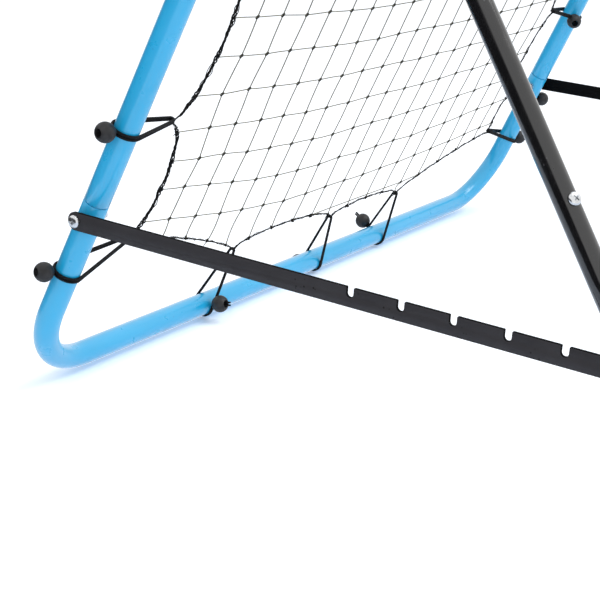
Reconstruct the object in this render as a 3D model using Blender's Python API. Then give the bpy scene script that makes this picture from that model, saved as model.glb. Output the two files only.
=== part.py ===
"""Pitch back rebounder: a blue tubular frame that holds a tied-in net, leaning on a folding black leg frame.

Run with: blender --background --python part.py

World axes: +X across the width, the ball comes from -Y, the legs stand towards +Y, +Z is up.
The floor is z = 0 and the origin is at the middle of the object's footprint.

Three empties carry the moving bodies, so most shapes are drawn flat and then tipped:
    front_frame  x across, y to the rear of the leaning frame, z up its slope
    leg_frame    origin on the hinge axis, x across, y to the rear, legs run down -z
    bar_...      origin on the bar's pivot, y along the bar, z across its edge
"""

import math

import bmesh
import bpy
from mathutils import Matrix, Vector

# --- driving dimensions, metres and radians ---
TUBE_R = 0.0127  # one-inch frame tube
TUBE_WALL = 0.0012
LEG_R = 0.010  # 20 mm leg tube
GAP = 0.0003  # running gap between touching pieces
STEP_GAP = 0.0008  # gap where a swaged tube end meets its socket's mouth

FRAME_WIDTH = 0.9932  # between side tube axes, at the bottom tube
FRAME_LENGTH = 0.989  # bottom tube axis to top tube axis, up the slope
FRAME_LEAN = math.radians(26.73)  # from the vertical
FRAME_TAPER = math.radians(2.37)  # each side tube closes in by this much
BEND_R = 0.082  # centre line radius of the corner bends
BEND_STEPS = 6
SEAM = 0.2145  # from the bottom tube axis to the first seam, and from the top one to the second
SOCKET = 0.060  # length of a swaged frame tube end
LEG_SOCKET = 0.130  # and of a leg's, which the leg screw holds

LEG_ANGLE = math.radians(30.121)  # from the vertical, when set up
HINGE_UP = 0.7215  # hinge axis, up the slope
HINGE_BACK = 0.031  # hinge axis, behind the side tube's axis
LEG_SEAM = 0.528  # from the hinge axis down the leg
LEG_BOLT = 0.4315
LEG_BOLT_TURN = math.radians(26)  # the leg screw's head faces rear, turned outwards by this
REAR_BEND_R = 0.070

BAR_PIVOT = 0.198  # up the slope
BAR_OUT = 0.0208  # bar's middle, outboard of the side tube's axis
BAR_DROP = math.radians(3.83)  # the bar slopes down towards the leg
BAR_HEIGHT = 0.0178
BAR_THICK = 0.003
SLOT_FIRST = 0.3041
SLOT_PITCH = 0.0485
SLOT_COUNT = 7
SLOT_IN_USE = 5  # counted from 0: the slot that the leg's hook pin stands at
SLOT_WIDTH = 0.0066
BAR_TAIL = 0.030  # bar beyond the last slot
HOOK_CLEAR = 0.0012  # the pin ends this far short of the bar

BOLT_R = 0.003
HOLE_R = 0.0033
LEG_BOLT_R = 0.0025
LEG_HOLE_R = 0.0028

CORD_R = 0.0025  # elastic tie cord and net border cord
BALL_R = 0.010
NET_THICK = 0.002
TIE_REACH = 0.074  # from a tube's axis to the net's edge
BORDER_SAG = 0.020  # how far the net's edge curves in between two ties
LOOP_R = TUBE_R + GAP + CORD_R
BALL_AT = LOOP_R + CORD_R + BALL_R - 0.002
VERTEX_R = 0.0032

# (height up the slope, ball angle from outboard towards the rear) of each side's ties
RIGHT_TIES = ((0.140, -22), (0.295, -10), (0.460, -25), (0.645, -20), (0.842, -35))
LEFT_TIES = ((0.116, 27.25), (0.178, 30), (0.314, 125), (0.480, -25), (0.660, -20), (0.842, -35))
# (x, ball angle from the rear towards the top of the slope) of the bottom and top ties
BOTTOM_TIES = ((0.197, 37), (-0.028, 224), (-0.194, 161))
TOP_TIES = ((0.190, 35), (0.0, 20), (-0.190, 40))

SIDES = 16
CORD_SIDES = 6
BOLT_SIDES = 12

# --- places worked out from them ---
TUBE_BORE = TUBE_R - TUBE_WALL
SPIGOT_R = TUBE_BORE - GAP
LEG_BORE = LEG_R - TUBE_WALL
LEG_SPIGOT_R = LEG_BORE - GAP
AXIS_HEIGHT = LOOP_R + CORD_R  # the bottom ties pass under the bottom tube
SLOPE_UP = math.cos(FRAME_LEAN)
SLOPE_BACK = math.sin(FRAME_LEAN)
HINGE_Y = HINGE_UP * SLOPE_BACK + HINGE_BACK * SLOPE_UP
HINGE_Z = AXIS_HEIGHT + HINGE_UP * SLOPE_UP - HINGE_BACK * SLOPE_BACK
LEG_LENGTH = (HINGE_Z - LEG_R) / math.cos(LEG_ANGLE)
FOOT_Y = HINGE_Y + LEG_LENGTH * math.sin(LEG_ANGLE)
PIVOT_Y = BAR_PIVOT * SLOPE_BACK
PIVOT_Z = AXIS_HEIGHT + BAR_PIVOT * SLOPE_UP

X_AXIS = Vector((1, 0, 0))
Y_AXIS = Vector((0, 1, 0))
Z_AXIS = Vector((0, 0, 1))


def tube_x(height):
    """Half the distance between the side tubes' axes at this height up the slope."""
    return FRAME_WIDTH / 2 - height * math.tan(FRAME_TAPER)


def leg_x(down):
    """Half the distance between the legs' axes, this far down from the hinge axis."""
    return tube_x(HINGE_UP) + down * math.tan(FRAME_TAPER)


def front_reach():
    """How far in front of the bottom tube's axis the object reaches, where a tie ball sits."""
    reaches = []
    for _, angle in BOTTOM_TIES:
        back = BALL_AT * math.cos(math.radians(angle))
        up = BALL_AT * math.sin(math.radians(angle))
        reaches.append(BALL_R - back * SLOPE_UP - up * SLOPE_BACK)
    return max(reaches)


FRAME_Y = (front_reach() - FOOT_Y - LEG_R) / 2


# --- materials ---
def material(name, colour, roughness, metallic=0.0):
    made = bpy.data.materials.new(name)
    made.use_nodes = True
    shader = made.node_tree.nodes["Principled BSDF"]
    shader.inputs["Base Color"].default_value = (*colour, 1)
    shader.inputs["Roughness"].default_value = roughness
    shader.inputs["Metallic"].default_value = metallic
    return made


# --- scene helpers ---
def empty(name, location, turn_x):
    made = bpy.data.objects.new(name, None)
    made.location = location
    made.rotation_euler = (turn_x, 0, 0)
    bpy.context.scene.collection.objects.link(made)
    return made


def finish(bm, name, paint, parent, place=None):
    """The bmesh as an object under its parent, smooth with sharp edges; place is its local matrix."""
    bmesh.ops.recalc_face_normals(bm, faces=bm.faces)
    if bm.calc_volume(signed=True) < 0:
        bmesh.ops.reverse_faces(bm, faces=bm.faces)
    mesh = bpy.data.meshes.new(name)
    bm.to_mesh(mesh)
    bm.free()
    if paint:
        mesh.materials.append(paint)
    mesh.shade_smooth()
    mesh.set_sharp_from_angle(angle=math.radians(40))
    made = bpy.data.objects.new(name, mesh)
    made.parent = parent
    if place:
        made.matrix_local = place
    bpy.context.scene.collection.objects.link(made)
    return made


def combine(target, helper, operation):
    """A Boolean of the helper, which is hidden and left out of the model."""
    helper.hide_render = True
    helper.display_type = "WIRE"
    modifier = target.modifiers.new(helper.name, "BOOLEAN")
    modifier.operation = operation
    modifier.solver = "EXACT"
    modifier.object = helper


def frame_at(centre, axis):
    """A local matrix whose Z runs along the axis."""
    return Matrix.Translation(centre) @ axis.to_track_quat("Z", "Y").to_matrix().to_4x4()


# --- mesh helpers ---
def ring(bm, centre, across, up, radius, sides):
    verts = []
    for i in range(sides):
        angle = 2 * math.pi * i / sides
        verts.append(bm.verts.new(centre + radius * (math.cos(angle) * across + math.sin(angle) * up)))
    return verts


def bridge(bm, first, second):
    count = len(first)
    for i in range(count):
        j = (i + 1) % count
        bm.faces.new((first[i], first[j], second[j], second[i]))


def skin(bm, rings, looped):
    """Faces between neighbouring rings. A looped skin joins its ends; an open one is capped."""
    for first, second in zip(rings, rings[1:]):
        bridge(bm, first, second)
    if looped:
        bridge(bm, rings[-1], rings[0])
    else:
        bm.faces.new(rings[0])
        bm.faces.new(rings[-1])


def turned(profile, sides):
    """A solid turned about Z from (radius, height) points, closed by flat ends."""
    bm = bmesh.new()
    rings = [ring(bm, Vector((0, 0, height)), X_AXIS, Y_AXIS, radius, sides) for radius, height in profile]
    skin(bm, rings, looped=False)
    return bm


def sleeve(outer, inner, low, high, sides):
    """A ring of material about Z."""
    bm = bmesh.new()
    levels = ((outer, low), (outer, high), (inner, high), (inner, low))
    rings = [ring(bm, Vector((0, 0, z)), X_AXIS, Y_AXIS, radius, sides) for radius, z in levels]
    skin(bm, rings, looped=True)
    return bm


def box(size, centre):
    bm = bmesh.new()
    bmesh.ops.create_cube(bm, size=1, matrix=Matrix.Translation(centre) @ Matrix.Diagonal((*size, 1)))
    return bm


def plate(outline, thickness):
    """An outline in the local YZ plane, given thickness along X about x = 0."""
    bm = bmesh.new()
    face = bm.faces.new([bm.verts.new((-thickness / 2, y, z)) for y, z in outline])
    grown = bmesh.ops.extrude_face_region(bm, geom=[face])
    moved = [item for item in grown["geom"] if isinstance(item, bmesh.types.BMVert)]
    bmesh.ops.translate(bm, vec=(thickness, 0, 0), verts=moved)
    return bm


def arc(centre, radius, start, end, steps):
    """Points on an arc, as (first, second) coordinates, from start to end degrees."""
    points = []
    for i in range(steps + 1):
        angle = math.radians(start + (end - start) * i / steps)
        points.append((centre[0] + radius * math.cos(angle), centre[1] + radius * math.sin(angle)))
    return points


def bent_path(corners, radius, steps):
    """Stations (point, direction) along a path through the corners, each rounded by an arc."""
    stations = []
    for before, corner, after in zip(corners, corners[1:], corners[2:]):
        back = (before - corner).normalized()
        ahead = (after - corner).normalized()
        half = back.angle(ahead) / 2
        centre = corner + (back + ahead).normalized() * radius / math.sin(half)
        run = radius / math.tan(half)
        start = corner + back * run - centre
        sweep = math.pi - 2 * half
        axis = start.cross(corner + ahead * run - centre).normalized()
        for i in range(steps + 1):
            turn = Matrix.Rotation(sweep * i / steps, 3, axis)
            stations.append((centre + turn @ start, turn @ -back))
    first = (corners[0], (corners[1] - corners[0]).normalized())
    last = (corners[-1], (corners[-1] - corners[-2]).normalized())
    return [first, *stations, last]


def tube(outer, inner):
    """A hollow tube in the local XZ plane from stations (point, direction, radius), outside then inside."""
    bm = bmesh.new()
    rings = []
    for point, direction, radius in [*outer, *reversed(inner)]:
        rings.append(ring(bm, point, direction.cross(Y_AXIS).normalized(), Y_AXIS, radius, SIDES))
    skin(bm, rings, looped=True)
    return bm


def stations(start, end, steps):
    """Stations on the straight line from start to end, from (distance, radius) steps."""
    direction = (end - start).normalized()
    return [(start + direction * distance, direction, radius) for distance, radius in steps]


def cylinder(name, parent, centre, axis, radius, length):
    """A cutter along the axis, centred on the point."""
    bm = turned([(radius, -length / 2), (radius, length / 2)], BOLT_SIDES)
    return finish(bm, name, None, parent, frame_at(centre, axis))


def drill(target, centre, axis, radius, length):
    cutter = cylinder(f"{target.name}_drill", target.parent, centre, axis, radius, length)
    combine(target, cutter, "DIFFERENCE")


# --- fasteners ---
def pan_bolt(name, paint, parent, head_at, axis, shank_r, shank, head_r):
    """A pan-head bolt. Its head's underside is at head_at and its shank runs against the axis."""
    height = 0.62 * head_r
    profile = [(shank_r, -shank), (shank_r, 0), (head_r, 0), (head_r, 0.35 * height)]
    profile += [(0.82 * head_r, 0.78 * height), (0.45 * head_r, height)]
    return finish(turned(profile, BOLT_SIDES), name, paint, parent, frame_at(head_at, axis))


def hex_nut(name, paint, parent, face_at, axis, hole_r):
    """A hexagon nut whose inner face is at face_at and whose body runs along the axis."""
    across_flats = 3.3 * hole_r
    thickness = 1.55 * hole_r
    bm = bmesh.new()
    rings = []
    for outside, height in ((True, 0), (True, thickness), (False, thickness), (False, 0)):
        verts = []
        for i in range(BOLT_SIDES):
            angle = 2 * math.pi * i / BOLT_SIDES
            flat = across_flats / 2
            radius = hole_r if not outside else flat / math.cos(math.radians(30)) if i % 2 == 0 else flat
            verts.append(bm.verts.new((radius * math.cos(angle), radius * math.sin(angle), height)))
        rings.append(verts)
    skin(bm, rings, looped=True)
    return finish(bm, name, paint, parent, frame_at(face_at, axis))


# --- the front frame ---
def u_tube(name, paint, parent, corners, radius, outer_r, ends=()):
    """A bent tube with two bends. Each end spigot is (length, radius)."""
    path = bent_path(corners, radius, BEND_STEPS)
    outer = [(point, direction, outer_r) for point, direction in path]
    inner = [(point, direction, outer_r - TUBE_WALL) for point, direction in path]
    if ends:
        length, spigot_r = ends
        for rim, sign in ((0, -1), (-1, 1)):
            point, direction, _ = outer[rim]
            tip = point + direction * sign * length
            bore = spigot_r - TUBE_WALL
            extra_outer = [(point, direction, spigot_r), (tip, direction, spigot_r)]
            neck = point - direction * sign * 2 * TUBE_WALL
            extra_inner = [(neck, direction, size) for size in (outer_r - TUBE_WALL, bore)]
            extra_inner.append((tip, direction, bore))
            if rim == 0:
                outer = [*reversed(extra_outer), *outer]
                inner = [*reversed(extra_inner), *inner[1:]]
            else:
                outer = [*outer, *extra_outer]
                inner = [*inner[:-1], *extra_inner]
    return finish(tube(outer, inner), name, paint, parent)


def build_front_tubes(front, paints):
    """Two bent end sections joined by straight side tubes with swaged ends."""
    half = FRAME_WIDTH / 2
    top_half = tube_x(FRAME_LENGTH)
    far_seam = FRAME_LENGTH - SEAM
    lower = [
        Vector((tube_x(SEAM), 0, SEAM)),
        Vector((half, 0, 0)),
        Vector((-half, 0, 0)),
        Vector((-tube_x(SEAM), 0, SEAM)),
    ]
    upper = [
        Vector((tube_x(far_seam), 0, far_seam)),
        Vector((top_half, 0, FRAME_LENGTH)),
        Vector((-top_half, 0, FRAME_LENGTH)),
        Vector((-tube_x(far_seam), 0, far_seam)),
    ]
    lower_tube = u_tube("front_lower_tube", paints["blue"], front, lower, BEND_R, TUBE_R)
    top_tube = u_tube("front_top_tube", paints["blue"], front, upper, BEND_R, TUBE_R)
    for side, sign in (("right", 1), ("left", -1)):
        low = Vector((sign * tube_x(SEAM - SOCKET), 0, SEAM - SOCKET))
        high = Vector((sign * tube_x(far_seam + SOCKET), 0, far_seam + SOCKET))
        length = (high - low).length
        sleeve_in = SOCKET / math.cos(FRAME_TAPER) + STEP_GAP
        neck = sleeve_in + 2 * TUBE_WALL
        outer_steps = [(0, SPIGOT_R), (sleeve_in, SPIGOT_R), (sleeve_in, TUBE_R)]
        outer_steps += [(length - distance, radius) for distance, radius in reversed(outer_steps)]
        bore = SPIGOT_R - TUBE_WALL
        inner_steps = [(0, bore), (neck, bore), (neck, TUBE_BORE)]
        inner_steps += [(length - distance, radius) for distance, radius in reversed(inner_steps)]
        bm = tube(stations(low, high, outer_steps), stations(low, high, inner_steps))
        side_tube = finish(bm, f"front_side_tube_{side}", paints["blue"], front)
        weld_hinge_lug(side_tube, front, sign)
        pivot = Vector((sign * tube_x(BAR_PIVOT), 0, BAR_PIVOT))
        drill(lower_tube, pivot, X_AXIS, HOLE_R, 3 * TUBE_R)
        drill(side_tube, pivot, X_AXIS, HOLE_R, 3 * TUBE_R)
        join = Vector((sign * tube_x(far_seam + SOCKET / 2), 0, far_seam + SOCKET / 2))
        drill(top_tube, join, Y_AXIS, LEG_HOLE_R, 3 * TUBE_R)
        drill(side_tube, join, Y_AXIS, LEG_HOLE_R, 3 * TUBE_R)
        reach = 2 * TUBE_R + 0.008
        head = join + Y_AXIS * (TUBE_R + GAP)
        pan_bolt(f"top_joint_bolt_{side}", paints["zinc"], front, head, Y_AXIS, LEG_BOLT_R, reach, 0.0052)
        nut_face = join - Y_AXIS * (TUBE_R + GAP)
        hex_nut(f"top_joint_nut_{side}", paints["zinc"], front, nut_face, -Y_AXIS, LEG_HOLE_R)


def weld_hinge_lug(side_tube, front, sign):
    """A U-shaped lug welded to the rear of the side tube, its two ears holding the hinge bolt."""
    ear_thick = 0.0025
    ear_r = 0.010
    base_low = TUBE_R - 0.0007
    base_high = TUBE_R + 0.0023
    ear_x = LEG_R + STEP_GAP + ear_thick / 2
    centre = Vector((sign * tube_x(HINGE_UP), 0, HINGE_UP))
    base_size = (2 * ear_x + ear_thick, base_high - base_low, 3 * ear_r)
    base_centre = centre + Y_AXIS * (base_low + base_high) / 2
    base = finish(box(base_size, base_centre), f"{side_tube.name}_lug_base", None, front)
    combine(side_tube, base, "UNION")
    outline = [(base_low, -ear_r), *arc((HINGE_BACK, 0), ear_r, -90, 90, 8), (base_low, ear_r)]
    for ear in (-1, 1):
        place = Matrix.Translation(centre + X_AXIS * ear * ear_x)
        helper = finish(plate(outline, ear_thick), f"{side_tube.name}_lug_ear_{ear}", None, front, place)
        combine(side_tube, helper, "UNION")
    axis = centre + Y_AXIS * HINGE_BACK
    drill(side_tube, axis, X_AXIS, HOLE_R, 4 * LEG_R)
    head = axis + X_AXIS * sign * (ear_x + ear_thick / 2 + GAP)
    name = side_tube.name.rsplit("_", 1)[1]
    zinc = bpy.data.materials["zinc"]
    shank = 2 * ear_x + ear_thick + 0.009
    pan_bolt(f"hinge_bolt_{name}", zinc, front, head, X_AXIS * sign, BOLT_R, shank, 0.006)
    nut_face = axis - X_AXIS * sign * (ear_x + ear_thick / 2 + GAP)
    hex_nut(f"hinge_nut_{name}", zinc, front, nut_face, -X_AXIS * sign, HOLE_R)


# --- bars and their pivots ---
def bar_outline():
    """The notched bar in its own YZ plane: rounded ends, and slots that open upwards."""
    half = BAR_HEIGHT / 2
    end = SLOT_FIRST + SLOT_PITCH * (SLOT_COUNT - 1) + BAR_TAIL
    slot_r = SLOT_WIDTH / 2
    outline = arc((0, 0), half, 90, 270, 10)
    outline += arc((end - half, 0), half, -90, 90, 8)
    for i in reversed(range(SLOT_COUNT)):
        centre = SLOT_FIRST + SLOT_PITCH * i
        outline.append((centre + slot_r, half))
        outline += arc((centre, slot_r), slot_r, 0, -180, 6)
        outline.append((centre - slot_r, half))
    return outline


def build_bars(front, paints):
    inner_face = BAR_OUT - BAR_THICK / 2
    for side, sign in (("right", 1), ("left", -1)):
        out = X_AXIS * sign
        pivot_x = tube_x(BAR_PIVOT) + BAR_OUT
        place = Vector((sign * pivot_x, FRAME_Y + PIVOT_Y, PIVOT_Z))
        holder = empty(f"bar_{side}", place, -BAR_DROP)
        bar = finish(plate(bar_outline(), BAR_THICK), f"notched_bar_{side}", paints["black"], holder)
        drill(bar, Vector(), X_AXIS, HOLE_R, 4 * BAR_THICK)

        pivot = Vector((sign * tube_x(BAR_PIVOT), 0, BAR_PIVOT))
        spacer_low = TUBE_R * 0.86
        bm = sleeve(0.0065, HOLE_R, spacer_low, inner_face - GAP, BOLT_SIDES)
        spacer = finish(bm, f"pivot_spacer_{side}", paints["plastic"], front, frame_at(pivot, out))
        along = Vector((-sign * math.tan(FRAME_TAPER), 0, 1)).normalized()
        saddle_r = (TUBE_R + GAP) / math.cos(math.pi / 32)
        bm = turned([(saddle_r, -0.02), (saddle_r, 0.02)], 2 * SIDES)
        saddle = finish(bm, f"{spacer.name}_saddle", None, front, frame_at(pivot, along))
        combine(spacer, saddle, "DIFFERENCE")

        head = pivot + out * (BAR_OUT + BAR_THICK / 2 + GAP)
        shank = BAR_OUT + BAR_THICK / 2 + TUBE_R + 0.009
        pan_bolt(f"bar_pivot_bolt_{side}", paints["zinc"], front, head, out, BOLT_R, shank, 0.0062)
        hex_nut(f"bar_pivot_nut_{side}", paints["zinc"], front, pivot - out * (TUBE_R + GAP), -out, HOLE_R)


# --- the leg frame ---
def hook_down():
    """How far down the leg the slot in use meets its axis."""
    along = SLOT_FIRST + SLOT_PITCH * SLOT_IN_USE
    lift = SLOT_WIDTH / 2
    y = PIVOT_Y + along * math.cos(BAR_DROP) + lift * math.sin(BAR_DROP) - HINGE_Y
    z = PIVOT_Z - along * math.sin(BAR_DROP) + lift * math.cos(BAR_DROP) - HINGE_Z
    return math.hypot(y, z)


def build_legs(legs, paints):
    cap_disc = 0.002
    top = LEG_R - 0.0015
    foot = [
        Vector((leg_x(LEG_SEAM), 0, -LEG_SEAM)),
        Vector((leg_x(LEG_LENGTH), 0, -LEG_LENGTH)),
        Vector((-leg_x(LEG_LENGTH), 0, -LEG_LENGTH)),
        Vector((-leg_x(LEG_SEAM), 0, -LEG_SEAM)),
    ]
    rear_tube = u_tube(
        "rear_lower_tube", paints["black"], legs, foot, REAR_BEND_R, LEG_R, ends=(LEG_SOCKET, LEG_SPIGOT_R)
    )
    down = hook_down()
    for side, sign in (("right", 1), ("left", -1)):
        out = X_AXIS * sign
        slant = Vector((-sign * math.tan(FRAME_TAPER), 0, 1)).normalized()
        start = Vector((sign * leg_x(LEG_SEAM - STEP_GAP), 0, -LEG_SEAM + STEP_GAP))
        end = Vector((sign * leg_x(-top), 0, top))
        length = (end - start).length
        bm = tube(
            stations(start, end, [(0, LEG_R), (length, LEG_R)]),
            stations(start, end, [(0, LEG_BORE), (length, LEG_BORE)]),
        )
        leg = finish(bm, f"upper_leg_{side}", paints["black"], legs)
        hinge = Vector((sign * leg_x(0), 0, 0))
        drill(leg, hinge, X_AXIS, HOLE_R, 3 * LEG_R)

        plug_r = LEG_BORE - GAP
        profile = [(0.8 * plug_r, -0.004), (plug_r, -0.003), (plug_r, GAP), (LEG_R, GAP)]
        profile += [(LEG_R, cap_disc - 0.0005), (0.85 * LEG_R, cap_disc)]
        place = frame_at(end, slant)
        finish(turned(profile, SIDES), f"leg_end_cap_{side}", paints["plastic"], legs, place)

        turn = Matrix.Rotation(-sign * LEG_BOLT_TURN, 3, Z_AXIS)
        facing = turn @ Y_AXIS
        wall = Vector((sign * leg_x(LEG_BOLT), 0, -LEG_BOLT)) + facing * LEG_R
        drill(leg, wall, facing, LEG_HOLE_R, LEG_R)
        drill(rear_tube, wall, facing, LEG_HOLE_R, LEG_R)
        head = wall + facing * GAP
        pan_bolt(f"leg_screw_{side}", paints["zinc"], legs, head, facing, LEG_BOLT_R, 0.013, 0.0056)

        anchor = Vector((sign * leg_x(down), 0, -down))
        drill(rear_tube, anchor, X_AXIS, HOLE_R, 3 * LEG_R)
        build_hook(side, out, anchor, legs, paints)


def build_hook(side, out, anchor, legs, paints):
    """The bolt whose end stands at the bar's slot: its head is inboard and its nut outboard of the leg."""
    bar_face = tube_x(BAR_PIVOT) + BAR_OUT - BAR_THICK / 2
    head = anchor - out * (LEG_R + GAP)
    shank = bar_face - HOOK_CLEAR - abs(head.x)
    pan_bolt(f"hook_bolt_{side}", paints["zinc"], legs, head, -out, BOLT_R, shank, 0.0062)
    hex_nut(f"hook_nut_{side}", paints["zinc"], legs, anchor + out * (LEG_R + GAP), out, HOLE_R)


# --- net, border and ties ---
def net_corners():
    """The net's edge points at the ties, in order round the frame, as (x, up the slope)."""
    right = [(tube_x(height) - TIE_REACH, height) for height, _ in RIGHT_TIES]
    left = [(TIE_REACH - tube_x(height), height) for height, _ in LEFT_TIES]
    top = [(x, FRAME_LENGTH - TIE_REACH) for x, _ in TOP_TIES]
    bottom = [(x, TIE_REACH) for x, _ in BOTTOM_TIES]
    return [*right, *top, *reversed(left), *reversed(bottom)]


def net_edge(steps):
    """The scalloped edge: between two ties it curves in towards the net's middle."""
    corners = [Vector(corner) for corner in net_corners()]
    points = []
    longest = 0.19
    for here, there in zip(corners, [*corners[1:], corners[0]]):
        span = there - here
        inward = Vector((-span.y, span.x)).normalized()
        sag = BORDER_SAG * min(1, span.length / longest) ** 2
        for i in range(steps):
            t = i / steps
            points.append(here + span * t + inward * sag * 4 * t * (1 - t))
    return points


def inset(points, distance):
    """The closed outline moved inwards by the distance."""
    moved = []
    for i, point in enumerate(points):
        before = (point - points[i - 1]).normalized()
        after = (points[(i + 1) % len(points)] - point).normalized()
        along = (before + after).normalized()
        mitre = along.dot(after)
        moved.append(point + Vector((-along.y, along.x)) * distance / mitre)
    return moved


def loop_cord(points, normal):
    """A closed cord through the points, which lie in the plane with this normal."""
    bm = bmesh.new()
    rings = []
    for i, point in enumerate(points):
        along = (points[(i + 1) % len(points)] - points[i - 1]).normalized()
        rings.append(ring(bm, point, along.cross(normal).normalized(), normal, CORD_R, CORD_SIDES))
    skin(bm, rings, looped=True)
    return bm


def build_net(front, paints):
    edge = net_edge(steps=5)
    border = loop_cord([Vector((x, 0, z)) for x, z in edge], Y_AXIS)
    finish(border, "net_border_cord", paints["cord"], front)
    outline = inset(edge, CORD_R + 2 * GAP)
    bm = plate([(x, z) for x, z in outline], NET_THICK)
    quarter = Matrix.Rotation(math.radians(-90), 4, "Z")
    finish(bm, "net_panel", paints["net"], front, quarter)


def build_tie(name, paint, front, centre, outboard, along, angle):
    """An elastic loop from the net's edge round a tube, and the ball that locks it."""
    reach = TIE_REACH - 2 * CORD_R - GAP - VERTEX_R - CORD_R
    tangent = math.degrees(math.acos((LOOP_R - VERTEX_R) / reach))
    round_tube = arc((0, 0), LOOP_R, tangent - 180, 180 - tangent, 9)
    round_edge = arc((-reach, 0), VERTEX_R, 180 - tangent, 180 + tangent, 3)
    points = [centre + outboard * p + Y_AXIS * q for p, q in [*round_tube, *round_edge]]
    tie = finish(loop_cord(points, along), name, paint, front)
    away = Matrix.Rotation(angle, 3, outboard.cross(Y_AXIS)) @ outboard
    bm = bmesh.new()
    bmesh.ops.create_uvsphere(bm, u_segments=10, v_segments=6, radius=BALL_R)
    ball = finish(bm, f"{name}_ball", None, front, frame_at(centre + away * BALL_AT, away))
    combine(tie, ball, "UNION")


def build_ties(front, paints):
    cord = paints["cord"]
    for side, sign, ties in (("right", 1, RIGHT_TIES), ("left", -1, LEFT_TIES)):
        for i, (height, angle) in enumerate(ties, 1):
            centre = Vector((sign * tube_x(height), 0, height))
            build_tie(f"tie_{side}_{i}", cord, front, centre, X_AXIS * sign, Z_AXIS, math.radians(angle))
    for place, sign, height, ties in (("bottom", -1, 0, BOTTOM_TIES), ("top", 1, FRAME_LENGTH, TOP_TIES)):
        for i, (x, angle) in enumerate(ties, 1):
            centre = Vector((x, 0, height))
            # The angle is counted from the rear towards the top of the slope.
            turn = math.radians(90 - angle) if sign > 0 else math.radians(90 + angle)
            build_tie(f"tie_{place}_{i}", cord, front, centre, Z_AXIS * sign, X_AXIS, turn)


def main():
    for obj in list(bpy.data.objects):
        bpy.data.objects.remove(obj)
    paints = {
        "blue": material("blue_paint", (0.045, 0.39, 0.76), 0.28),
        "black": material("black_paint", (0.018, 0.018, 0.020), 0.3),
        "zinc": material("zinc", (0.72, 0.73, 0.74), 0.25, 1.0),
        "plastic": material("black_plastic", (0.022, 0.022, 0.024), 0.45),
        "cord": material("black_cord", (0.015, 0.015, 0.016), 0.7),
        "net": material("net_twine", (0.03, 0.03, 0.028), 0.8),
    }
    front = empty("front_frame", (0, FRAME_Y, AXIS_HEIGHT), -FRAME_LEAN)
    legs = empty("leg_frame", (0, FRAME_Y + HINGE_Y, HINGE_Z), LEG_ANGLE)
    build_front_tubes(front, paints)
    build_bars(front, paints)
    build_legs(legs, paints)
    build_net(front, paints)
    build_ties(front, paints)


main()
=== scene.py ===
import math
import random

import bmesh
import bpy
from mathutils import Matrix, Vector


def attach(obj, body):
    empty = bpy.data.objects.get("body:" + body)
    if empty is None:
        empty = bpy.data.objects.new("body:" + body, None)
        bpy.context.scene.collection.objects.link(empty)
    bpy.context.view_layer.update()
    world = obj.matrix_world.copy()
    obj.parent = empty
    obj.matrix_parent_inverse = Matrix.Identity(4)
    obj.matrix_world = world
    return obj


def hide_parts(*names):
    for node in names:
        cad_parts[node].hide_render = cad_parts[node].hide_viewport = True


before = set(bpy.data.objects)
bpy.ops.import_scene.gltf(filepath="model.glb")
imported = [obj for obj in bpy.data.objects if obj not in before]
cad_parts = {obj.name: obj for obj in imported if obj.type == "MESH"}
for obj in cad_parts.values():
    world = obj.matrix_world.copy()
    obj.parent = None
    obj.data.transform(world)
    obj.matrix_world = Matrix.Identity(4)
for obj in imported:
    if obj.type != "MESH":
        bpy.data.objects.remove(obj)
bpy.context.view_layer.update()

# --- sizes shared with the CAD, metres and radians ---
# A height in the front frame is measured up its slope from the lower tube's axis,
# and a distance down the legs is measured from the hinge axis.
TUBE_R = 0.0127
LEG_R = 0.010
FRAME_WIDTH = 0.9932
FRAME_LENGTH = 0.989
FRAME_LEAN = math.radians(26.73)
FRAME_TAPER = math.radians(2.37)
BEND_R = 0.082
SEAM = 0.2145
SOCKET = 0.060
STEP_GAP = 0.0008
LEG_ANGLE = math.radians(30.121)
HINGE_UP = 0.7215
HINGE_BACK = 0.031
LEG_SEAM = 0.528
LEG_TOP = 0.0085
LEG_BOLT = 0.4315
LEG_BOLT_TURN = math.radians(26)  # from the rear outwards
HOOK_DOWN = 0.562834
HOOK_CLEAR = 0.0012
REAR_BEND_R = 0.070
BAR_PIVOT = 0.198
BAR_OUT = 0.0208
BAR_DROP = math.radians(3.83)
BAR_HEIGHT = 0.0178
BAR_THICK = 0.003
SLOT_FIRST = 0.3041
SLOT_PITCH = 0.0485
SLOT_COUNT = 7
SLOT_WIDTH = 0.0066
BAR_TAIL = 0.030
AXIS_HEIGHT = 0.018
FRAME_Y = -0.3488989
LUG_R = 0.010
LUG_THICK = 0.0025
BOLT_R = 0.003
SCREW_R = 0.0025
HEAD_GAP = 0.0003
BALL_R = 0.010
BALL_AT = 0.026

# --- finer sizes, which only the visible pieces have ---
TUBE_SIDES = 40
TUBE_CREASE = 50  # degrees, above which an edge is shaded sharp
CREASE = 35
HEAD_SIDES = 40
TUBE_WALL = 0.0012
MOUTH_DEPTH = 0.004
MOUTH_LIP = 0.0005
SPIGOT_SIDES = 32
SPIGOT_LENGTH = 0.030
FRAME_SPIGOT_R = 0.0113
LEG_SPIGOT_R = 0.0086
SIDE_CORD_R = 0.00145
SIDE_TIP = 0.0035
END_CORD_R = 0.0012
END_TIP = 0.0150

# --- the net, measured in the frame's plane: x, height up the slope ---
MESH_PITCH = 0.04292
FIRST_COLUMN = -0.35622
COLUMNS = 18
FIRST_ROW = 0.0871
ROWS = 20
TWINE_R = 0.00058

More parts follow.
